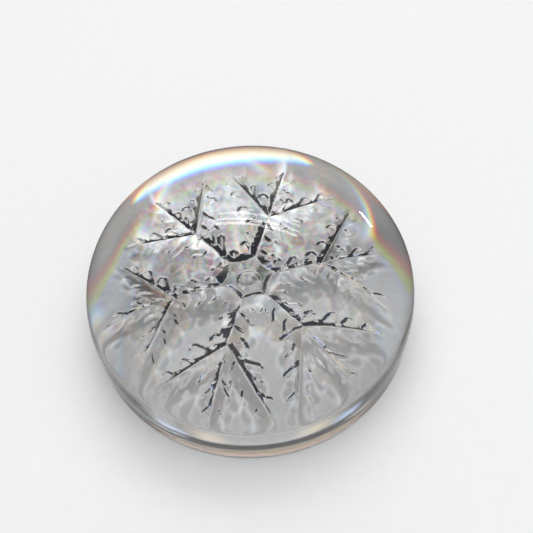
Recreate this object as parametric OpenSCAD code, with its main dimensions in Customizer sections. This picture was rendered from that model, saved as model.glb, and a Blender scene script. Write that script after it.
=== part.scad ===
// Solid clear glass paperweight: a domed crown over an upright wall. The underside is a
// shallow hollow inside a flat ring that rests on the table, and a six-armed snowflake is
// pressed up into the hollow and seen through the crown.
// Origin: centre of the ring's resting plane. +Z up, +X along one arm of the snowflake.

/* [Dome] */
// Diameter over the upright wall
base_d = 80; // [72:1:94]
// Height of the upright wall above the table
wall_h = 8.9; // [7:0.1:12]
// Radius of the shoulder arc that joins the wall to the crown
shoulder_r = 23.8; // [18:0.1:28]
// Radius of the crown arc, whose centre is on the axis
crown_r = 52.2; // [50:0.1:60]
// Width and height of the bevel at the foot's edge
foot_bevel = 0.6; // [0.3:0.1:1.2]
// Radius of the hollow in the underside, at the table
hollow_r = 33; // [31:0.5:34]
// Depth of the hollow in the middle, above the table
hollow_depth = 2.4; // [2:0.1:2.6]

/* [Snowflake] */
// Distance from the axis to each corner of the hub
hub_corner_r = 4.9; // [4.5:0.1:5.5]
// Depth of the hub's crest above the table
hub_depth = 3.7; // [3.5:0.1:4.5]
// Radius of the hub's round floor, inside its crest
boss_r = 2.6; // [2.4:0.1:2.8]
// Depth of that floor above the table
boss_depth = 3.1; // [2.9:0.1:3.3]
// Radius of the domed dimple in the middle of that floor
dimple_r = 2.2; // [1.8:0.1:2.3]
// Rise of the dimple above the floor
dimple_rise = 0.5; // [0.3:0.1:0.6]
// Distance from the axis to the fork, where each stem splits into three leaves
fork_r = 14.6; // [13:0.1:16]
// Depth of the ridge at the fork, above the table
fork_depth = 3.2; // [3:0.1:3.6]

/* [Leaves] */
// Distance from the axis to the tip of each arm's middle leaf
middle_tip_r = 26.8; // [24:0.1:30]
// Distance from the axis to the tips of each arm's two side leaves
side_tip_r = 25.5; // [23:0.1:29]
// Angle at the axis between an arm and the tips of its side leaves
side_tip_angle = 25; // [20:0.5:27]
// Depth of a leaf's ridge above the table, where its pointed tip begins
tip_depth = 1.6; // [1.4:0.1:2]
// Length of the pointed tip
tip_len = 2.2; // [1:0.1:3]
// Fall of the slopes on both sides of a ridge, as height over distance
slope = 0.5; // [0.4:0.01:0.7]
// Height of the leaves' blades above the hollow, in its middle
blade_h = 0.6; // [0.4:0.1:0.8]
// Half-width of a leaf at the fork
leaf_half_w = 3.9; // [3:0.1:4.5]
// Half-width of a leaf where its pointed tip begins
tip_half_w = 1.7; // [1:0.1:2.2]
// Half-width of a stem
stem_half_w = 4.1; // [3:0.1:4.5]
// Number of lobes along each side of a leaf
lobe_count = 5; // [3:1:6]
// How deep the notches between lobes reach in, as a share of the half-width
notch = 0.3; // [0.1:0.05:0.45]
// How far a lobe leans towards the tip, as a share of its distance from the ridge
lean = 0.5; // [0:0.05:0.6]

/* [Hidden] */

arm_count = 6;
base_r = base_d / 2;
arc_steps = 24;
round_facets = 96;
crown_z = wall_h - sqrt(pow(crown_r - shoulder_r, 2) - pow(base_r - shoulder_r, 2));
height = crown_z + crown_r;
join_angle = atan2(wall_h - crown_z, base_r - shoulder_r);

// The cutters start this far under the table plane, so that they break through it
under = 1;
cutter_top = hub_depth + 1;
reach = 40;
points_per_lobe = 4;
stem_lobes = 3;
hub_side_r = 7;
hub_side_sag = 0.5;
crest_w = 0.2;
half_turn = 180 / arm_count;
side_tip = side_tip_r * [cos(side_tip_angle), sin(side_tip_angle)];
side_run = side_tip - [fork_r, 0];
side_turn = atan2(side_run[1], side_run[0]);
stem_len = fork_r - hub_corner_r;
middle_len = middle_tip_r - fork_r - tip_len;
side_len = norm(side_run) - tip_len;

// Points along an arc in the dome's half section
function arc(centre_r, centre_z, r, from, to) =
    [for (i = [0:arc_steps])
        let (a = from + (to - from) * i / arc_steps)
        [centre_r + r * cos(a), centre_z + r * sin(a)]];

// Half section of the dome, from the underside round to the top
function dome_section() = concat(
    [[0, 0], [base_r - foot_bevel, 0], [base_r, foot_bevel]],
    arc(base_r - shoulder_r, wall_h, shoulder_r, 0, join_angle),
    [for (i = [1:arc_steps - 1])
        let (a = join_angle + (90 - join_angle) * i / arc_steps)
        [crown_r * cos(a), crown_z + crown_r * sin(a)]],
    [[0, height]]);

// Distance of a lobed edge from its ridge, at the share t of the way along
function edge_w(t, w0, w1, lobes) =
    (w0 + (w1 - w0) * t) * (1 - notch * (1 - abs(sin(180 * lobes * t))));

// One side of a leaf's outline: side is 1 or -1
function leaf_side(length, w0, w1, lobes, side) =
    [for (i = [0:lobes * points_per_lobe])
        let (t = i / (lobes * points_per_lobe), w = edge_w(t, w0, w1, lobes))
        [length * t + lean * w, side * w]];

function reversed(list) = [for (i = [len(list) - 1:-1:0]) list[i]];

// Outline of a leaf or stem lying along +X
module leaf_outline(length, w0, w1, lobes, tip) {
    polygon(concat(
        [[0, 0]],
        leaf_side(length, w0, w1, lobes, -1),
        [[length + tip, 0]],
        reversed(leaf_side(length, w0, w1, lobes, 1))));
}

// Everything below the plane through p whose upward normal is n
module below(p, n) {
    u = n / norm(n);
    translate(p)
        rotate([0, acos(u[2]), atan2(u[1], u[0])])
            translate([-reach, -reach, -reach])
                cube([2 * reach, 2 * reach, reach]);
}

// Roof-shaped cutter along +X: its ridge goes from depth0 to depth1, then down to a point,
// and its sides are trimmed to a lobed outline
module ridge(length, depth0, depth1, w0, w1, lobes, tip) {
    fall = (depth0 - depth1) / length;
    intersection() {
        translate([0, 0, -under])
            linear_extrude(under + cutter_top) leaf_outline(length, w0, w1, lobes, tip);
        below([0, 0, depth0], [fall, slope, 1]);
        below([0, 0, depth0], [fall, -slope, 1]);
        below([length, 0, depth1], [depth1 / tip, 0, 1]);
    }
}

// Ridges of one arm along +X: a stem, a middle leaf and two side leaves
module arm_ridges() {
    translate([hub_corner_r, 0, 0])
        ridge(stem_len, hub_depth, fork_depth, stem_half_w, stem_half_w, stem_lobes, tip_len);
    translate([fork_r, 0, 0])
        ridge(middle_len, fork_depth, tip_depth, leaf_half_w, tip_half_w, lobe_count, tip_len);
    for (side = [1, -1])
        translate([fork_r, 0, 0])
            rotate([0, 0, side * side_turn])
                ridge(side_len, fork_depth, tip_depth,
                    leaf_half_w, tip_half_w, lobe_count, tip_len);
}

// Outlines of the same stem and leaves
module arm_outline() {
    translate([hub_corner_r, 0])
        leaf_outline(stem_len, stem_half_w, stem_half_w, stem_lobes, tip_len);
    translate([fork_r, 0])
        leaf_outline(middle_len, leaf_half_w, tip_half_w, lobe_count, tip_len);
    for (side = [1, -1])
        translate([fork_r, 0])
            rotate(side * side_turn)
                leaf_outline(side_len, leaf_half_w, tip_half_w, lobe_count, tip_len);
}

// Ball whose top cap stands on the height z, with this radius there and this rise
module cap(cap_r, z, rise) {
    r = (cap_r * cap_r + rise * rise) / (2 * rise);
    translate([0, 0, z + rise - r])
        sphere(r = r, $fn = round_facets);
}

// The leaves' blades: a deeper cap, cut out along the outlines
module blades() {
    intersection() {
        translate([0, 0, -under])
            linear_extrude(under + cutter_top)
                for (i = [0:arm_count - 1])
                    rotate(2 * half_turn * i) arm_outline();
        cap(hollow_r, 0, hollow_depth + blade_h);
    }
}

// Hexagonal pocket with hollow sides, whose top is a crest round a lower round floor
module hub_pocket() {
    side_mid_r = hub_corner_r * cos(half_turn) - hub_side_sag;
    difference() {
        translate([0, 0, -under])
            cylinder(r = hub_corner_r, h = hub_depth + under, $fn = arm_count);
        for (i = [0:arm_count - 1])
            rotate([0, 0, half_turn + 2 * half_turn * i])
                translate([side_mid_r + hub_side_r, 0, -2 * under])
                    cylinder(r = hub_side_r, h = hub_depth + 3 * under, $fn = round_facets);
        translate([0, 0, boss_depth])
            cylinder(r1 = boss_r, r2 = side_mid_r - crest_w, h = hub_depth - boss_depth,
                $fn = round_facets);
    }
}

// The whole block of glass
module crystal_dome() {
    color("lightcyan", 0.4)
        difference() {
            rotate_extrude($fn = round_facets) polygon(dome_section());
            cap(hollow_r, 0, hollow_depth);
            hub_pocket();
            cap(dimple_r, boss_depth, dimple_rise);
            blades();
            for (i = [0:arm_count - 1])
                rotate([0, 0, 2 * half_turn * i]) arm_ridges();
        }
}

crystal_dome();
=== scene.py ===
"""Clear glass dome paperweight with a six-armed snowflake pressed up into its underside.

All lengths are in millimetres until the mesh is made; the frame and Blender are in metres.
"""
import math

import bpy
import numpy as np
from mathutils import Matrix, Vector


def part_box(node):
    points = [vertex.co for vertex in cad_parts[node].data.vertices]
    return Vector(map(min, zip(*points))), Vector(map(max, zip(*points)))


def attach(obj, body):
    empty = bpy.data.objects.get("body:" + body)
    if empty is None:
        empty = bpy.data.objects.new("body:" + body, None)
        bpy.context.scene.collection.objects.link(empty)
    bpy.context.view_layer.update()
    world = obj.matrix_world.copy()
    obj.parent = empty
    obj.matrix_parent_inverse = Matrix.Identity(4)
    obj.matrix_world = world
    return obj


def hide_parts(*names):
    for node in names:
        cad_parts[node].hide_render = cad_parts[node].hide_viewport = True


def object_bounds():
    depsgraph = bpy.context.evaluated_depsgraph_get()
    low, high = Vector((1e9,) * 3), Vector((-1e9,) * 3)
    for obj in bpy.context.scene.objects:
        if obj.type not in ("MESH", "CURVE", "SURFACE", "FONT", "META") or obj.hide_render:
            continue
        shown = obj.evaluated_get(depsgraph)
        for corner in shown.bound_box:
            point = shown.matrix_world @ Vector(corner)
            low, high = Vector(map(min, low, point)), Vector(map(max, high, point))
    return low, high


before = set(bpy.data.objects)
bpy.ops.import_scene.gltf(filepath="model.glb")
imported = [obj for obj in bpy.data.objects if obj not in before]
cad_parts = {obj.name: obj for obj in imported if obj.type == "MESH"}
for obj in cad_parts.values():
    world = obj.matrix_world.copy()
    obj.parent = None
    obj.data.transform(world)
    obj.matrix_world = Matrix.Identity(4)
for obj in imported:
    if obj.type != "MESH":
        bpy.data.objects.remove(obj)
cad_low, cad_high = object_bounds()
MM = 0.001

# ---------------------------------------------------------------- driving dimensions
foot_low, foot_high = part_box("crystal_dome")
BASE_R = (foot_high[0] - foot_low[0]) / 2 / MM
HEIGHT = (foot_high[2] - foot_low[2]) / MM
CROWN_R = 52.2          # arc over the top, centred on the axis
SHOULDER_R = 23.8       # arc between the crown and the upright wall
FOOT_BEVEL = 0.6        # bevel at the foot's edge
INSET = 0.01            # the glass stays this far inside the CAD solid

ARMS = 6
HUB_CORNER_R = 4.9      # distances from the axis
FORK_R = 14.6
MIDDLE_TIP_R = 26.8
SIDE_TIP_R = 25.5
SIDE_TIP_ANGLE = math.radians(25)   # between an arm and the tips of its side leaves

HOLLOW_R = 33.0         # the underside is a shallow hollow, this wide and this deep
HOLLOW_DEPTH = 2.4
RIDGE_H = 1.4           # height of the ridges above the hollow, at the hub and at a leaf's tip
TIP_RIDGE_H = 0.5
BLADE_H = 0.7           # height of a leaf's blade above the hollow
FACE_SLOPE = 0.5        # fall of the faces on both sides of a ridge, as height over distance
EDGE_SLOPE = 0.55       # fall of a leaf's lobed edge
RIDGE_ROUND = 0.07      # how far the ridges are rounded over, and the blades' lobed edges
EDGE_ROUND = 0.15
BLADE_ROUND = 0.1       # how softly ridges meet blades, leaf meets leaf, and edges meet the hollow
LEAF_ROUND = 0.1
FOOT_ROUND = 0.08
HOLLOW_ROUND = 0.2      # how softly the hollow meets the flat ring
RELIEF_FROM = 0.012     # a relief or an underside lower than these counts as none
DEPTH_FROM = 0.016

HUB_SIDE_R = 7.0        # radius of the hub's hollow sides, and how far they sag in
HUB_SIDE_SAG = 0.3
HUB_CORNER_OUT = 0.2    # the hub's corners reach this much past their radius, rounded this softly
HUB_CORNER_ROUND = 0.6
HUB_STEP = 0.55         # the hub's floor is this much lower than its crest
HUB_FLOOR_ROUND = 0.08
DIMPLE_RISE = 0.5       # the round dimple in the middle of the hub: its rise, radius and edge
DIMPLE_R = 2.3
DIMPLE_ROUND = 0.05

TIP_LEN = 2.4           # length of a leaf's pointed tip, and of a stem's end
STEM_END_LEN = 0.8
TIP_FALL = 0.75         # share of its height that the ridge loses over the tip
TIP_NARROWING = 0.5     # share of its width that a leaf loses over the tip, down to the least share
TIP_LEAST = 0.3
TIP_ROUND = 0.5
START_RISE = 0.8        # slope of the ridge before its start
STEM_HALF_W = 4.0       # half-width of a stem
LEAF_HALF_W = 4.2       # half-width of a leaf at the fork, and where its tip begins
TIP_HALF_W = 2.0
MIDDLE_LEAF = 0.8       # width of the middle leaf at the fork, as a share of a side leaf's
CORE = 0.6              # share of the half-width that is solid, without fingers
FINGER_LEAN = math.radians(44)     # between a finger and the ridge, give or take the spread
LEAN_SPREAD = 0.12
FINGERED_TIP = 0.4      # share of the tip that carries fingers
FINGER_STEP = 3.6       # distance between fingers along a leaf's ridge, and along a stem's
STEM_STEP = 3.9
FINGER_FILL = 0.37      # finger radius as a share of that distance, and at its root as a share
ROOT_SHARE = 0.9
FINGER_START = 0.35     # the first finger starts this share of a step before the ridge does
FINGER_SPREAD = 0.15
FINGER_LENGTH = (0.85, 1.1)     # as a share of the half-width
FINGER_ROUND = 0.25
LEAST_RUN = 0.3
TAPER = 0.3             # share of their width that fingers and slits lose towards the tip
SLIT_START = (0.38, 0.5)        # where the slits between fingers begin and end, likewise
SLIT_END = (0.7, 1.3)
SLIT_R = 0.2
SLIT_WIDTH = (0.8, 1.15)
SLIT_FLARE = 1.2        # width of a slit's end over its start
SLIT_CUT = 1.5          # how steeply slits cut into a blade, and how softly
SLIT_ROUND = 0.15


# ---------------------------------------------------------------- the snowflake's relief
FAR_AWAY = 99.0
LEAF_MARGIN = 4.0       # a leaf is worked out only within these distances of its ridge
LEAF_WIDEST = 7.0
FIRST_ARM_SEED = 40


def smooth_max(a, b, k):
    t = np.clip(0.5 + 0.5 * (a - b) / k, 0, 1)
    return b + (a - b) * t + k * t * (1 - t)


def smooth_min(a, b, k):
    return -smooth_max(-a, -b, k)


def capsule(x, y, x0, y0, x1, y1, r0, r1):
    """Distance inside a finger from (x0, y0) to (x1, y1), its radius going from r0 to r1."""
    dx, dy = x1 - x0, y1 - y0
    t = np.clip(((x - x0) * dx + (y - y0) * dy) / (dx * dx + dy * dy), 0, 1)
    return r0 + (r1 - r0) * t - np.hypot(x - x0 - t * dx, y - y0 - t * dy)


def leaf_relief(s, d, length, h0, h1, half0, half1, tip, rng, step):
    """Height of one leaf above the hollow: s runs along its ridge, d across it."""
    side = np.abs(d)
    along = np.clip(s / length, 0, 1)
    past = np.clip(s - length, 0, None) / tip
    ridge = (h0 + (h1 - h0) * along) * (1 - TIP_FALL * past) + START_RISE * np.clip(s, None, 0)
    half = (half0 + (half1 - half0) * along) * np.clip(1 - TIP_NARROWING * past, TIP_LEAST, 1)
    across = np.sqrt(d * d + RIDGE_ROUND ** 2) - RIDGE_ROUND
    blade = BLADE_H * ridge / h0
    roof = smooth_max(ridge - FACE_SLOPE * across, blade, BLADE_ROUND)
    inside = CORE * half - side
    inside = smooth_min(inside, length + tip - s, TIP_ROUND)
    count = max(int(round((length + FINGERED_TIP * tip) / step)), 1)
    pitch = length / count
    slits = np.full_like(s, -FAR_AWAY)
    for hand in (1, -1):
        for i in range(count + 1):
            at = pitch * (i - FINGER_START) + rng.uniform(-FINGER_SPREAD, FINGER_SPREAD) * pitch
            t = min(max(at / length, 0), 1)
            long = (half0 + (half1 - half0) * t) * rng.uniform(*FINGER_LENGTH)
            r = pitch * FINGER_FILL * (1 - TAPER * t)
            run = max(long - r, LEAST_RUN)
            slant = 1 / math.tan(FINGER_LEAN + rng.uniform(-LEAN_SPREAD, LEAN_SPREAD))
            finger = capsule(s, hand * d, at, 0.0, at + run * slant, run, r * ROOT_SHARE, r)
            inside = smooth_max(inside, finger, FINGER_ROUND)
            start = long * rng.uniform(*SLIT_START)
            end = long * rng.uniform(*SLIT_END)
            wide = SLIT_R * (1 - TAPER * t) * rng.uniform(*SLIT_WIDTH)
            at += pitch / 2
            slit = capsule(s, hand * d, at + start * slant, start, at + end * slant, end,
                           wide, wide * SLIT_FLARE)
            slits = np.maximum(slits, slit)
    inside = smooth_min(inside, -SLIT_CUT * slits, SLIT_ROUND)
    return smooth_min(roof, EDGE_SLOPE * inside, EDGE_ROUND)


def hub_relief(x, y):
    """Height of the hub above the hollow: a six-sided crest round a floor with a dimple."""
    inside = np.full_like(x, FAR_AWAY)
    r = np.hypot(x, y)
    centre_r = HUB_CORNER_R * math.cos(math.pi / ARMS) - HUB_SIDE_SAG + HUB_SIDE_R
    for i in range(ARMS):
        a = math.pi / ARMS + 2 * math.pi * i / ARMS
        away = np.hypot(x - centre_r * math.cos(a), y - centre_r * math.sin(a))
        inside = np.minimum(inside, away - HUB_SIDE_R)
    inside = smooth_min(inside, HUB_CORNER_R + HUB_CORNER_OUT - r, HUB_CORNER_ROUND)
    crest = RIDGE_H - FACE_SLOPE * (np.sqrt(inside * inside + RIDGE_ROUND ** 2) - RIDGE_ROUND)
    floor = np.where(inside > 0, RIDGE_H - HUB_STEP, 0)
    middle = RIDGE_H - HUB_STEP + DIMPLE_RISE * (1 - (r / DIMPLE_R) ** 4)
    return smooth_max(smooth_max(crest, floor, HUB_FLOOR_ROUND), middle, DIMPLE_ROUND)


def relief(x, y):
    """Height of the underside above the table at each point."""
    height = hub_relief(x, y)
    side_dx = SIDE_TIP_R * math.cos(SIDE_TIP_ANGLE) - FORK_R
    side_dy = SIDE_TIP_R * math.sin(SIDE_TIP_ANGLE)
    side_len, side_turn = math.hypot(side_dx, side_dy), math.atan2(side_dy, side_dx)
    for arm in range(ARMS):
        a = 2 * math.pi * arm / ARMS
        u = x * math.cos(a) + y * math.sin(a)
        v = -x * math.sin(a) + y * math.cos(a)
        rng = np.random.default_rng(FIRST_ARM_SEED + arm)
        stem = FORK_R - HUB_CORNER_R
        parts = [
            (0.0, HUB_CORNER_R, stem, RIDGE_H, RIDGE_H,
             STEM_HALF_W, STEM_HALF_W, STEM_END_LEN, STEM_STEP),
            (0.0, FORK_R, MIDDLE_TIP_R - FORK_R - TIP_LEN, RIDGE_H, TIP_RIDGE_H,
             LEAF_HALF_W * MIDDLE_LEAF, TIP_HALF_W, TIP_LEN, FINGER_STEP),
            (side_turn, FORK_R, side_len - TIP_LEN, RIDGE_H, TIP_RIDGE_H,
             LEAF_HALF_W, TIP_HALF_W, TIP_LEN, FINGER_STEP),
            (-side_turn, FORK_R, side_len - TIP_LEN, RIDGE_H, TIP_RIDGE_H,
             LEAF_HALF_W, TIP_HALF_W, TIP_LEN, FINGER_STEP),
        ]
        for turn, start, length, h0, h1, w0, w1, end, step in parts:
            s = (u - start) * math.cos(turn) + v * math.sin(turn)
            d = -(u - start) * math.sin(turn) + v * math.cos(turn)
            near = (s > -LEAF_MARGIN) & (s < length + end + LEAF_MARGIN)
            near &= np.abs(d) < LEAF_WIDEST
            if not near.any():
                leaf_relief(s[:1], d[:1], length, h0, h1, w0, w1, end, rng, step)
                continue
            leaf = leaf_relief(s[near], d[near], length, h0, h1, w0, w1, end, rng, step)
            height[near] = smooth_max(height[near], leaf, LEAF_ROUND)
    height = smooth_max(height, np.zeros_like(height), FOOT_ROUND)
    hollow = HOLLOW_DEPTH * (1 - (np.hypot(x, y) / HOLLOW_R) ** 2)
    hollow = smooth_max(hollow, np.zeros_like(hollow), HOLLOW_ROUND)
    return hollow + np.where(height < RELIEF_FROM, 0.0, height)


def clean_relief(x, y):
    depth = relief(x, y)
    return np.where(depth < DEPTH_FROM, 0.0, depth)


# ---------------------------------------------------------------- the glass mesh
SEGMENTS = 192          # facets round the dome
FINEST = 8              # each starting cell may be halved three times
CAP_R = 0.4             # flat disc in the very middle of the underside
TOLERANCE = 0.03        # how far a cell's flat face may miss the relief
PROBES = 5              # points across a cell, each way, at which that is measured
COARSE_RINGS = (3, 8)   # the rings whose starting cells span four segments, then two
WALL_STEPS = 8
SHOULDER_STEPS = 36
CROWN_STEPS = 44
BEVEL_MIDDLE = (0.35, 0.28)     # the bevel bulges a little: its middle, in from the wall and up


def profile():
    """Half section from the foot bevel up to just short of the top, as (radius, height)."""
    base = BASE_R - INSET
    crown = CROWN_R - INSET
    shoulder = SHOULDER_R - INSET
    top = HEIGHT - INSET
    crown_z = top - crown
    wall_z = crown_z + math.sqrt((crown - shoulder) ** 2 - (base - shoulder) ** 2)
    join = math.atan2(wall_z - crown_z, base - shoulder)
    points = [(base - FOOT_BEVEL, 0.0),
              (base - FOOT_BEVEL * BEVEL_MIDDLE[0], FOOT_BEVEL * BEVEL_MIDDLE[1]),
              (base, FOOT_BEVEL)]
    points += [(base, FOOT_BEVEL + (wall_z - FOOT_BEVEL) * i / WALL_STEPS)
               for i in range(1, WALL_STEPS + 1)]
    points += [(base - shoulder + shoulder * math.cos(join * i / SHOULDER_STEPS),
                wall_z + shoulder * math.sin(join * i / SHOULDER_STEPS))
               for i in range(1, SHOULDER_STEPS + 1)]
    rise = math.pi / 2 - join
    points += [(crown * math.cos(join + rise * i / CROWN_STEPS),
                crown_z + crown * math.sin(join + rise * i / CROWN_STEPS))
               for i in range(1, CROWN_STEPS)]
    return points, top


def starting_cells(r_units, t_units):
    """Rectangles in (radius, angle) units that cover the underside's ring."""
    cells = []
    for r0 in range(0, r_units, FINEST):
        wide = 4 if r0 < COARSE_RINGS[0] * FINEST else 2 if r0 < COARSE_RINGS[1] * FINEST else 1
        for t0 in range(0, t_units, FINEST * wide):
            cells.append((r0, r0 + FINEST, t0, t0 + FINEST * wide))
    return np.array(cells)


def refined_cells(to_xy, r_units, t_units):
    """Halves the cells in which the relief isn't nearly flat."""
    todo, done = starting_cells(r_units, t_units), []
    while len(todo):
        r0, r1, t0, t1 = todo.T.astype(float)
        f = np.linspace(0, 1, PROBES)
        rr = r0[:, None, None] + (r1 - r0)[:, None, None] * f[None, :, None] + 0 * f[None, None, :]
        tt = t0[:, None, None] + (t1 - t0)[:, None, None] * f[None, None, :] + 0 * f[None, :, None]
        x, y = to_xy(rr, tt)
        z = clean_relief(x.ravel(), y.ravel()).reshape(x.shape)
        p, q = f[None, :, None], f[None, None, :]
        flat = (z[:, :1, :1] * (1 - p) * (1 - q) + z[:, -1:, :1] * p * (1 - q)
                + z[:, :1, -1:] * (1 - p) * q + z[:, -1:, -1:] * p * q)
        error = np.abs(z - flat).max((1, 2))
        size = todo[:, 1] - todo[:, 0]
        split = (error > TOLERANCE) & (size > 1)
        done.append(todo[~split])
        r0, r1, t0, t1 = todo[split].T
        rm, tm = (r0 + r1) // 2, (t0 + t1) // 2
        todo = np.concatenate([np.stack(c, 1) for c in (
            (r0, rm, t0, tm), (rm, r1, t0, tm), (r0, rm, tm, t1), (rm, r1, tm, t1))])
    return np.concatenate(done)


def underside(foot_r):
    """Vertices and faces of the underside, its last ring matching the dome's segments."""
    r_units = FINEST * int(round(foot_r - CAP_R))
    t_units = SEGMENTS * FINEST

    def to_xy(r, t):
        rad = CAP_R + (foot_r - CAP_R) * r / r_units
        return rad * np.cos(t * 2 * math.pi / t_units), rad * np.sin(t * 2 * math.pi / t_units)

    cells = refined_cells(to_xy, r_units, t_units)
    used = np.zeros((r_units + 1, t_units), bool)
    for r in (0, 1):
        for t in (2, 3):
            used[cells[:, r], cells[:, t] % t_units] = True
    keys = np.argwhere(used)
    number = np.full(used.shape, -1)
    number[keys[:, 0], keys[:, 1]] = np.arange(len(keys))
    x, y = to_xy(keys[:, 0].astype(float), keys[:, 1].astype(float))
    verts = np.stack([x, y, clean_relief(x, y)], 1)

    faces, centres = [], []
    for r0, r1, t0, t1 in cells.tolist():
        loop = [(r0, t) for t in range(t0, t1)] + [(r, t1) for r in range(r0, r1)]
        loop += [(r1, t) for t in range(t1, t0, -1)] + [(r, t0) for r in range(r1, r0, -1)]
        ring = [number[r, t % t_units] for r, t in loop if used[r, t % t_units]]
        if len(ring) == 4:
            faces.append(ring)
        else:
            hub = len(keys) + len(centres)
            centres.append(((r0 + r1) / 2, (t0 + t1) / 2))
            faces += [[hub, ring[i], ring[(i + 1) % len(ring)]] for i in range(len(ring))]
    if centres:
        c = np.array(centres)
        cx, cy = to_xy(c[:, 0], c[:, 1])
        verts = np.concatenate([verts, np.stack([cx, cy, clean_relief(cx, cy)], 1)])
    inner = [number[0, t] for t in range(t_units) if used[0, t]]
    faces.append(inner[::-1])
    outer = [number[r_units, t] for t in range(0, t_units, FINEST)]
    return verts, faces, outer


def glass_mesh():
    """The closed mesh of the block of glass."""
    points, top = profile()
    verts, faces, ring = underside(points[0][0])
    verts = [tuple(v) for v in verts]
    angles = [2 * math.pi * i / SEGMENTS for i in range(SEGMENTS)]
    for r, z in points[1:]:
        start = len(verts)
        verts += [(r * math.cos(a), r * math.sin(a), z) for a in angles]
        new = list(range(start, start + SEGMENTS))
        for i in range(SEGMENTS):
            j = (i + 1) % SEGMENTS
            faces.append([ring[i], ring[j], new[j], new[i]])
        ring = new
    verts.append((0, 0, top))
    faces += [[ring[i], ring[(i + 1) % SEGMENTS], len(verts) - 1] for i in range(SEGMENTS)]
    mesh = bpy.data.meshes.new("crystal")
    mesh.from_pydata([tuple(c * MM for c in v) for v in verts], [], faces)
    mesh.validate()
    mesh.update()
    mesh.polygons.foreach_set("use_smooth", [True] * len(mesh.polygons))
    return mesh


# ---------------------------------------------------------------- painted light on the table
GRID = 801              # samples across the relief for the light that goes down through it
RAYS = 900              # light rays across the dome, each way
TABLE_CELLS = 400       # cells of table across the dome
LIT_R = BASE_R - 0.3    # radius of the lit disc of table under the dome
LIT_DEPTH = 0.05        # the disc lies this far under the dome
RED_GREEN_BLUE_IOR = (1.496, 1.523, 1.553)
TABLE_LIGHTS = (        # azimuth from +Y towards +X and elevation in degrees, brightness
    (182, 29, 0.80),
    (150, 42, 0.08),
    (204, 42, 0.12),
    (14, 74, 0.10),
)
LAMP_SPREAD = math.radians(2.0)     # half the size of each lamp, as seen from the dome
LAMP_SEED = 7
TABLE_AMBIENT = (0.02, 0.32, 0.46)  # other light, in the far half, the near half and at the rim
AMBIENT_FALL = (-9.0, 9.0)      # it goes from the near value to the far one here along Y
AMBIENT_RISE = (24.0, 32.0)     # and to the rim's value between these radii
TABLE_WHITE = 1.5       # brightest the table can get
HEAD_ON = 0.96          # share of the light that glass lets in head-on
LEAST_FACING = 0.02     # rays that graze the crown more than this are dropped
LEAST_FALL = 0.05       # and so are rays that leave the glass flatter than this
WALL_MARGIN = 0.03      # and rays this close to the wall
MEETING_STEPS = 6       # steps that find where a ray meets the relief
LEAST_RISE = 0.000001   # these keep roots, divisions and grid places clear of their limits
CLEAR_BY = 0.001


def bend(d, normal, ratio):
    """Refracts directions d at a surface; the flag is False where all light is reflected."""
    facing = -(d * normal).sum(0)
    left = 1 - ratio * ratio * (1 - facing * facing)
    return ratio * d + (ratio * facing - np.sqrt(np.clip(left, 0, None))) * normal, left > 0


def crown_surface(x, y):
    """Height and outward normal of the dome's upper surface."""
    crown_z = HEIGHT - CROWN_R
    wall_z = crown_z + math.sqrt((CROWN_R - SHOULDER_R) ** 2 - (BASE_R - SHOULDER_R) ** 2)
    join = math.atan2(wall_z - crown_z, BASE_R - SHOULDER_R)
    r = np.hypot(x, y)
    crown = r < CROWN_R * math.cos(join)
    arc_r = np.where(crown, CROWN_R, SHOULDER_R)
    out = (r - np.where(crown, 0, BASE_R - SHOULDER_R)) / arc_r
    up = np.sqrt(np.clip(1 - out * out, LEAST_RISE, 1))
    z = np.where(crown, crown_z, wall_z) + arc_r * up
    r = np.maximum(r, CLEAR_BY)
    return z, np.stack([out * x / r, out * y / r, up])


class Field:
    """A square grid of values over the underside, read with smooth steps between them."""
    def __init__(self, values):
        self.values = values.ravel()
        self.step = 2 * BASE_R / (GRID - 1)

    def at(self, x, y):
        last = GRID - 1 - CLEAR_BY
        fx = np.clip((x + BASE_R) / self.step, 0, last)
        fy = np.clip((y + BASE_R) / self.step, 0, last)
        i, j = fx.astype(int), fy.astype(int)
        u, v = fx - i, fy - j
        k = i * GRID + j
        low = self.values[k] * (1 - u) + self.values[k + GRID] * u
        high = self.values[k + 1] * (1 - u) + self.values[k + GRID + 1] * u
        return low * (1 - v) + high * v


def eased(value, low, high):
    """0 up to low, 1 from high on, easing between."""
    share = np.clip((value - low) / (high - low), 0, 1)
    return share * share * (3 - 2 * share)


def soften(cells):
    """Spreads each cell a little over its neighbours."""
    for axis in (0, 1):
        cells = (np.roll(cells, 1, axis) + 2 * cells + np.roll(cells, -1, axis)) / 4
    return cells


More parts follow.
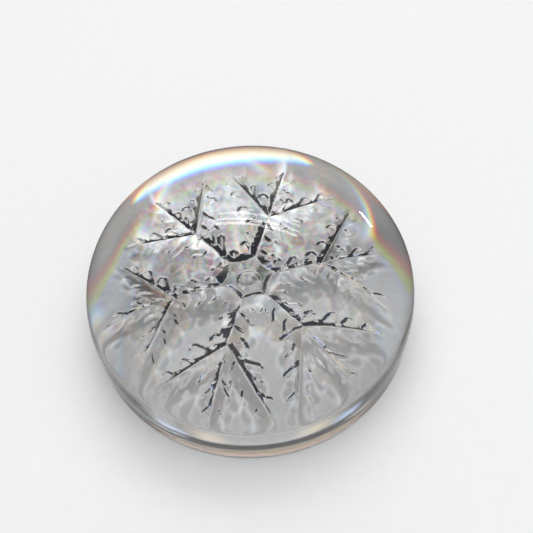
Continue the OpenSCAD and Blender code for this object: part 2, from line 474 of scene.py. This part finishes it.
def refracted_light(azimuth, elevation, ior, height, slope_x, slope_y):
    """Light that reaches the table through the dome from one far lamp, as a grid of cells."""
    rng = np.random.default_rng(LAMP_SEED)
    a, e = math.radians(azimuth), math.radians(elevation)
    spread = ((np.arange(RAYS) + 0.5) / RAYS * 2 - 1) * BASE_R
    x, y = (g.ravel() for g in np.meshgrid(spread, spread, indexing="ij"))
    x = x + rng.uniform(-1, 1, x.size) * BASE_R / RAYS
    y = y + rng.uniform(-1, 1, y.size) * BASE_R / RAYS
    a = a + LAMP_SPREAD * rng.uniform(-1, 1, x.size)
    e = e + LAMP_SPREAD * rng.uniform(-1, 1, x.size)
    ray = np.stack([-np.sin(a) * np.cos(e), -np.cos(a) * np.cos(e), -np.sin(e)])
    z, normal = crown_surface(x, y)
    facing = -(ray * normal).sum(0)
    hit = (np.hypot(x, y) < BASE_R - WALL_MARGIN) & (facing > LEAST_FACING)
    x, y, z, facing = x[hit], y[hit], z[hit], facing[hit]
    ray, normal = ray[:, hit], normal[:, hit]
    power = facing / normal[2] * HEAD_ON * (1 - (1 - facing) ** 5)
    d, _ = bend(ray, normal, 1 / ior)
    far = z / -d[2]
    for _ in range(MEETING_STEPS):
        far = (z - height.at(x + d[0] * far, y + d[1] * far)) / -d[2]
    x, y = x + d[0] * far, y + d[1] * far
    gx, gy = slope_x.at(x, y), slope_y.at(x, y)
    normal = np.stack([-gx, -gy, np.ones_like(gx)]) / np.sqrt(gx * gx + gy * gy + 1)
    out, through = bend(d, normal, ior)
    through &= (np.hypot(x, y) < BASE_R - FOOT_BEVEL) & (out[2] < -LEAST_FALL)
    fall = height.at(x, y) / np.maximum(-out[2], LEAST_FALL)
    x, y = (x + out[0] * fall)[through], (y + out[1] * fall)[through]
    power = power[through]
    lands = np.hypot(x, y) < BASE_R
    i = ((x[lands] / BASE_R + 1) / 2 * TABLE_CELLS).astype(int)
    j = ((y[lands] / BASE_R + 1) / 2 * TABLE_CELLS).astype(int)
    cells = np.bincount(i * TABLE_CELLS + j, power[lands], TABLE_CELLS * TABLE_CELLS)
    return soften(cells.reshape(TABLE_CELLS, TABLE_CELLS) * (TABLE_CELLS / RAYS) ** 2)


def table_light():
    """Colour of the painted light on each cell of table under the dome: light traced down through the
    glass, plus other light.
    """
    across = np.linspace(-BASE_R, BASE_R, GRID)
    x, y = np.meshgrid(across, across, indexing="ij")
    depth = relief(x.ravel(), y.ravel()).reshape(x.shape)
    slope_x, slope_y = np.gradient(depth, across[1] - across[0])
    fields = [Field(depth), Field(slope_x), Field(slope_y)]
    total = []
    for ior in RED_GREEN_BLUE_IOR:
        total.append(sum(brightness * refracted_light(azimuth, elevation, ior, *fields)
                         for azimuth, elevation, brightness in TABLE_LIGHTS))
    middle = (np.arange(TABLE_CELLS) + 0.5) / TABLE_CELLS * 2 * BASE_R - BASE_R
    x, y = np.meshgrid(middle, middle, indexing="ij")
    far, near, rim = TABLE_AMBIENT
    ambient = near + (far - near) * eased(y, *AMBIENT_FALL)
    ambient = ambient + (rim - ambient) * eased(np.hypot(x, y), *AMBIENT_RISE)
    colour = np.stack(total, -1) + ambient[:, :, None]
    return TABLE_WHITE * (1 - np.exp(-colour / TABLE_WHITE))


def lit_table():
    """Disc of table under the dome that glows with painted light: the light that came down through
    the glass, traced here and put on as its colour.
    """
    colour = table_light()
    n = TABLE_CELLS
    across = np.linspace(-BASE_R, BASE_R, n + 1)
    x, y = np.meshgrid(across, across, indexing="ij")
    low = cad_low[2] / MM - LIT_DEPTH
    verts = np.stack([x.ravel(), y.ravel(), np.full(x.size, low)], 1) * MM
    middle = (across[:-1] + across[1:]) / 2
    i, j = np.nonzero(np.hypot(*np.meshgrid(middle, middle, indexing="ij")) < LIT_R)
    quads = np.stack([i * (n + 1) + j, (i + 1) * (n + 1) + j,
                      (i + 1) * (n + 1) + j + 1, i * (n + 1) + j + 1], 1)
    used, quads = np.unique(quads, return_inverse=True)
    mesh = bpy.data.meshes.new("lit_table")
    mesh.from_pydata(verts[used].tolist(), [], quads.reshape(-1, 4).tolist())
    pad = np.pad(colour, ((1, 1), (1, 1), (0, 0)), mode="edge")
    corner = (pad[:-1, :-1] + pad[1:, :-1] + pad[:-1, 1:] + pad[1:, 1:]) / 4
    rgba = np.concatenate([corner, np.ones(corner.shape[:2] + (1,))], 2).reshape(-1, 4)
    light = mesh.attributes.new("light", "FLOAT_COLOR", "POINT")
    light.data.foreach_set("color", rgba[used].ravel())
    disc = bpy.data.objects.new("lit_table", mesh)
    bpy.context.collection.objects.link(disc)
    net = Net(bpy.data.materials.new("lit_table"))
    # the disc glows with the painted light as its emission; it is no lamp
    glow = net.node("ShaderNodeEmission")
    net.link(net.node("ShaderNodeAttribute", attribute_name="light").outputs["Color"], glow.inputs[0])
    net.finish(glow)
    mesh.materials.append(net.block)


# ---------------------------------------------------------------- materials
GLASS_IOR = 1.52
WAVE_SCALE = 70         # waviness of the polish: noise scale and detail, strength, height in metres
WAVE_DETAIL = 1
WAVE_STRENGTH = 0.25
WAVE_HEIGHT = 0.00005
WEAR_SCALE = 900        # fine worn spots: noise scale, the noise they show above, roughness
WEAR_FROM = (0.62, 0.8)
WEAR_ROUGHNESS = 0.03
FLOOR_GRAIN = 300
FLOOR_PALE = ((0.89, 0.89, 0.89), (0.93, 0.93, 0.93))
FLOOR_GLASS = ((0.8, 0.8, 0.8), (0.03, 0.028, 0.025))   # through glass, near and further off
FLOOR_REACH = (0.042, 0.052)    # the distances between which it changes, in metres


class Net:
    """Builds the shader nodes of one material or world."""
    def __init__(self, block):
        self.block = block
        block.use_nodes = True
        self.tree = block.node_tree
        self.tree.nodes.clear()

    def node(self, kind, **settings):
        made = self.tree.nodes.new(kind)
        for name, value in settings.items():
            setattr(made, name, value)
        return made

    def link(self, source, target):
        self.tree.links.new(source, target)

    def math(self, operation, *values):
        made = self.node("ShaderNodeMath", operation=operation)
        for i, value in enumerate(values):
            if isinstance(value, (int, float)):
                made.inputs[i].default_value = value
            else:
                self.link(value, made.inputs[i])
        return made.outputs[0]

    def smooth(self, value, low, high):
        """0 up to low, 1 from high on, easing between; high may be below low."""
        made = self.node("ShaderNodeMapRange", interpolation_type="SMOOTHSTEP")
        self.link(value, made.inputs["Value"])
        made.inputs["From Min"].default_value = low
        made.inputs["From Max"].default_value = high
        return made.outputs["Result"]

    def mix(self, factor, a, b):
        made = self.node("ShaderNodeMix", data_type="RGBA")
        for i, value in ((0, factor), (6, a), (7, b)):
            if isinstance(value, tuple):
                made.inputs[i].default_value = (*value, 1)
            else:
                self.link(value, made.inputs[i])
        return made.outputs[2]

    def camera_sees(self, shown, hidden):
        """The camera itself sees one shader, and light seen through the glass the other."""
        made = self.node("ShaderNodeMixShader")
        self.link(self.node("ShaderNodeLightPath").outputs["Is Camera Ray"], made.inputs[0])
        self.link(hidden.outputs[0], made.inputs[1])
        self.link(shown.outputs[0], made.inputs[2])
        return made

    def finish(self, shader):
        kind = "World" if isinstance(self.block, bpy.types.World) else "Material"
        self.link(shader.outputs[0], self.node("ShaderNodeOutput" + kind).inputs["Surface"])


def crystal_material():
    """Clear polished glass, a little wavy, with fine wear on its surface."""
    net = Net(bpy.data.materials.new("clear_crystal"))
    glass = net.node("ShaderNodeBsdfPrincipled")
    glass.inputs["Base Color"].default_value = (1, 1, 1, 1)
    glass.inputs["IOR"].default_value = GLASS_IOR
    glass.inputs["Transmission Weight"].default_value = 1
    place = net.node("ShaderNodeTexCoord").outputs["Object"]
    waves = net.node("ShaderNodeTexNoise")
    waves.inputs["Scale"].default_value = WAVE_SCALE
    waves.inputs["Detail"].default_value = WAVE_DETAIL
    net.link(place, waves.inputs["Vector"])
    bump = net.node("ShaderNodeBump")
    bump.inputs["Strength"].default_value = WAVE_STRENGTH
    bump.inputs["Distance"].default_value = WAVE_HEIGHT
    net.link(waves.outputs["Fac"], bump.inputs["Height"])
    net.link(bump.outputs[0], glass.inputs["Normal"])
    wear = net.node("ShaderNodeTexNoise")
    wear.inputs["Scale"].default_value = WEAR_SCALE
    net.link(place, wear.inputs["Vector"])
    worn = net.smooth(wear.outputs["Fac"], *WEAR_FROM)
    net.link(net.math("MULTIPLY", worn, WEAR_ROUGHNESS), glass.inputs["Roughness"])
    net.finish(glass)
    return net.block


def floor_material():
    """Pale floor; seen through the glass it is pale near the dome and dark further off."""
    net = Net(bpy.data.materials.new("pale_floor"))
    pale = net.node("ShaderNodeBsdfDiffuse")
    grain = net.node("ShaderNodeTexNoise")
    grain.inputs["Scale"].default_value = FLOOR_GRAIN
    place = net.node("ShaderNodeNewGeometry").outputs["Position"]
    net.link(place, grain.inputs["Vector"])
    net.link(net.mix(grain.outputs["Fac"], *FLOOR_PALE), pale.inputs[0])
    away = net.node("ShaderNodeVectorMath", operation="LENGTH")
    net.link(place, away.inputs[0])
    reach = net.smooth(away.outputs["Value"], *FLOOR_REACH)
    table = net.node("ShaderNodeBsdfDiffuse")
    net.link(net.mix(reach, *FLOOR_GLASS), table.inputs[0])
    net.finish(net.camera_sees(pale, table))
    return net.block


# ---------------------------------------------------------------- stage, light and camera
EYE_ROOM = 0.93         # plain background that the camera sees
ROOM_BASE = (0.15, 0.14, 0.125)
# Each patch of the room: azimuth from +Y towards +X, half width, lowest and highest elevation,
# softness, all in degrees, and its colour. Later patches lie over earlier ones.
ROOM = (
    (14, 38, 27, 62, 4, (0.5, 0.5, 0.5)),
    (14, 17, 30, 52, 7, (0.75, 0.75, 0.75)),
    (46, 6, 44, 52, 4, (0.1, 0.1, 0.1)),
    (14, 34, 54, 63, 4, (0.85, 0.85, 0.85)),
    (0, 100, 68, 95, 2.5, (0.09, 0.09, 0.09)),
    (0, 180, -10, 24, 3, (0.028, 0.03, 0.036)),
    (14, 22, 16, 28, 3, (0.4, 0.4, 0.4)),
    (-9, 3, 17, 23, 2, (0.55, 0.68, 0.95)),
    (30, 3.5, 16, 21, 2, (0.65, 0.75, 1.0)),
    (-1, 3, 18, 26, 3, (0.75, 0.7, 0.55)),
    (21, 3, 17, 26, 3, (0.7, 0.62, 0.5)),
    (70, 6, 49, 56, 2, (0.9, 0.95, 1.1)),
    (-75, 12, 60, 74, 4, (0.85, 0.8, 0.7)),
    (100, 25, 58, 74, 4, (0.8, 0.85, 0.9)),
    (180, 75, 12, 60, 4, (0.5, 0.5, 0.5)),
    (180, 80, 56, 84, 4, (0.5, 0.52, 0.56)),
)
FLOOR_HALF = 3.0        # half the floor's side, and how far it lies under the dome, in metres
FLOOR_DEPTH = 0.0001
# Lamps: azimuth, elevation, distance, size and power. The bars share all but three of these.
WINDOW = (62, 11, 1.5, (0.2, 0.05), 0.4)
BAR_AZIMUTH = 24
BAR_DISTANCE = 1.8
BAR_LENGTH = 1.3
BARS = ((56.5, 0.05, 0.9), (60.5, 0.035, 0.9), (63.5, 0.05, 1.3))   # elevation, width, power
SOFT_PLACE = (0.1, 0.1, 1.2)
SOFT_SIZE = 1.6
SOFT_POWER = 12.5
LAMP_AIM = (0, 0, 0.02)


def make_world():
    """A room of soft patches seen in and through the glass; the camera sees it plain."""
    world = bpy.data.worlds.new("studio")
    bpy.context.scene.world = world
    net = Net(world)
    split = net.node("ShaderNodeSeparateXYZ")
    net.link(net.node("ShaderNodeTexCoord").outputs["Generated"], split.inputs[0])
    x, y, z = split.outputs
    azimuth = net.math("DEGREES", net.math("ARCTAN2", x, y))
    elevation = net.math("DEGREES", net.math("ARCSINE", z))
    total = net.node("ShaderNodeRGB").outputs[0]
    total.default_value = (*ROOM_BASE, 1)
    for middle, half, low, high, soft, colour in ROOM:
        turn = net.math("WRAP", net.math("SUBTRACT", azimuth, middle), -180.0, 180.0)
        inside = net.smooth(net.math("ABSOLUTE", turn), half + soft, half - soft)
        above = net.smooth(elevation, low - soft, low + soft)
        below = net.smooth(elevation, high + soft, high - soft)
        part = net.math("MULTIPLY", inside, net.math("MULTIPLY", above, below))
        total = net.mix(part, total, colour)
    room = net.node("ShaderNodeBackground")
    net.link(total, room.inputs[0])
    plain = net.node("ShaderNodeBackground")
    plain.inputs[0].default_value = (EYE_ROOM, EYE_ROOM, EYE_ROOM, 1)
    net.finish(net.camera_sees(plain, room))


def make_stage():
    """A plain floor just under the dome."""
    half = FLOOR_HALF
    low = cad_low[2] - FLOOR_DEPTH
    mesh = bpy.data.meshes.new("floor")
    corners = [(-half, -half, low), (half, -half, low), (half, half, low), (-half, half, low)]
    mesh.from_pydata(corners, [], [(0, 1, 2, 3)])
    floor = bpy.data.objects.new("floor", mesh)
    bpy.context.collection.objects.link(floor)
    mesh.materials.append(floor_material())


def from_room(azimuth, elevation, distance):
    """Point at a distance from the dome, its azimuth going from +Y towards +X."""
    a, e = math.radians(azimuth), math.radians(elevation)
    return (distance * math.sin(a) * math.cos(e), distance * math.cos(a) * math.cos(e),
            distance * math.sin(e))


def area_light(name, position, size, power):
    data = bpy.data.lights.new(name, "AREA")
    data.shape = "RECTANGLE"
    data.size, data.size_y = size
    data.energy = power
    light = bpy.data.objects.new(name, data)
    light.location = position
    light.rotation_mode = "QUATERNION"
    light.rotation_quaternion = (Vector(LAMP_AIM) - Vector(position)).to_track_quat("-Z", "Y")
    bpy.context.collection.objects.link(light)
    light.visible_camera = False
    light.visible_transmission = False
    return light


def make_lights():
    """A window and three long lamps that glint on the crown, and a soft light on the floor."""
    azimuth, elevation, distance, size, power = WINDOW
    area_light("window", from_room(azimuth, elevation, distance), size, power)
    for i, (elevation, width, power) in enumerate(BARS):
        place = from_room(BAR_AZIMUTH, elevation, BAR_DISTANCE)
        area_light("bar%d" % i, place, (BAR_LENGTH, width), power)
    soft = area_light("soft", SOFT_PLACE, (SOFT_SIZE, SOFT_SIZE), SOFT_POWER)
    soft.visible_glossy = False


CAMERA_DISTANCE = 3.453     # in base radii, from the middle of the underside
CAMERA_ELEVATION = math.radians(55.1)
CAMERA_AZIMUTH = math.radians(-10.1)
CAMERA_AIM = (0.1082, 0.8455)   # where the lens axis meets the table, in base radii
CAMERA_ROLL = math.radians(-5.42)
CAMERA_SHIFT = (0.055, -0.105)
CAMERA_LENS = 34.6
CAMERA_SENSOR = 36
CAMERA_CLIP = (0.01, 20)


def make_camera():
    data = bpy.data.cameras.new("camera")
    data.sensor_width = CAMERA_SENSOR
    data.lens = CAMERA_LENS
    data.shift_x, data.shift_y = CAMERA_SHIFT
    data.clip_start, data.clip_end = CAMERA_CLIP
    camera = bpy.data.objects.new("camera", data)
    bpy.context.collection.objects.link(camera)
    reach = BASE_R * MM
    flat = CAMERA_DISTANCE * math.cos(CAMERA_ELEVATION) * reach
    place = Vector((flat * math.sin(CAMERA_AZIMUTH), -flat * math.cos(CAMERA_AZIMUTH),
                    CAMERA_DISTANCE * math.sin(CAMERA_ELEVATION) * reach))
    target = Vector((CAMERA_AIM[0] * reach, CAMERA_AIM[1] * reach, 0))
    turn = (target - place).to_track_quat("-Z", "Y")
    camera.matrix_world = (Matrix.Translation(place) @ turn.to_matrix().to_4x4()
                           @ Matrix.Rotation(CAMERA_ROLL, 4, "Z"))
    bpy.context.scene.camera = camera


# ---------------------------------------------------------------- put it together
make_camera()
make_world()
make_stage()
make_lights()
lit_table()
bpy.context.scene.view_settings.view_transform = "Standard"

crystal = bpy.data.objects.new("crystal", glass_mesh())
bpy.context.collection.objects.link(crystal)
crystal.data.materials.append(crystal_material())
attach(crystal, "root")
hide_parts("crystal_dome")
print("triangles", sum(len(p.vertices) - 2 for p in crystal.data.polygons))
